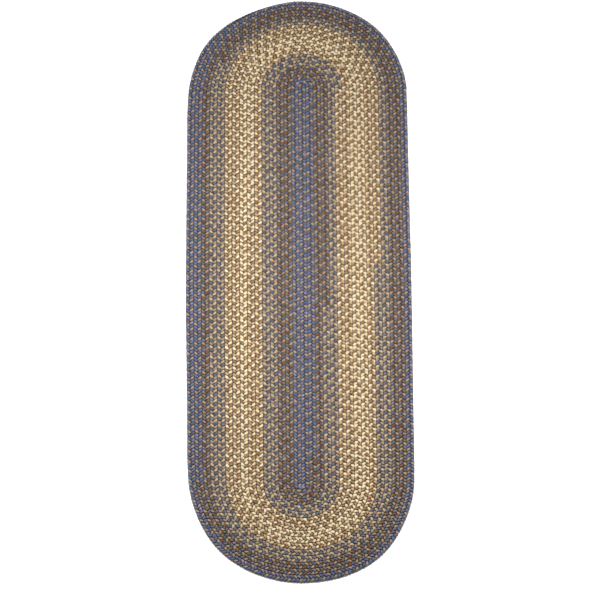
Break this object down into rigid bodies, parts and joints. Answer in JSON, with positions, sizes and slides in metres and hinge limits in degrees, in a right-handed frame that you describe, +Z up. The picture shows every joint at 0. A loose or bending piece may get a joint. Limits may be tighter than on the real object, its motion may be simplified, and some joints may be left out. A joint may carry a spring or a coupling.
{
  "type": "braided rug",
  "caption": "Long oval rug of one flat braid wound round and round from the middle and sewn row to row, in bands of slate blue, brown and cream.",
  "frame": {"origin": "middle of the rug's plan, on the floor under it", "axes": "+Y along the rug towards the end where the braid starts and its tail dies away, +X across it, +Z up"},
  "size_m": [0.615, 1.8324, 0.0095],
  "materials": {
    "braid_yarn": "matt braided yarn, mixed colours",
    "blue_yarn": "matt heathered slate blue yarn",
    "brown_yarn": "matt heathered brown yarn",
    "cream_yarn": "matt cream yarn",
    "tan_yarn": "matt heathered tan yarn",
    "fleck_yarn": "matt yarn that changes from cream to peach, rust and olive along its length",
    "sewing_thread": "dark sewing between the rows"
  },
  "bodies": {
    "root": {"braided_rug": "braid_yarn"}
  },
  "joints": []
}
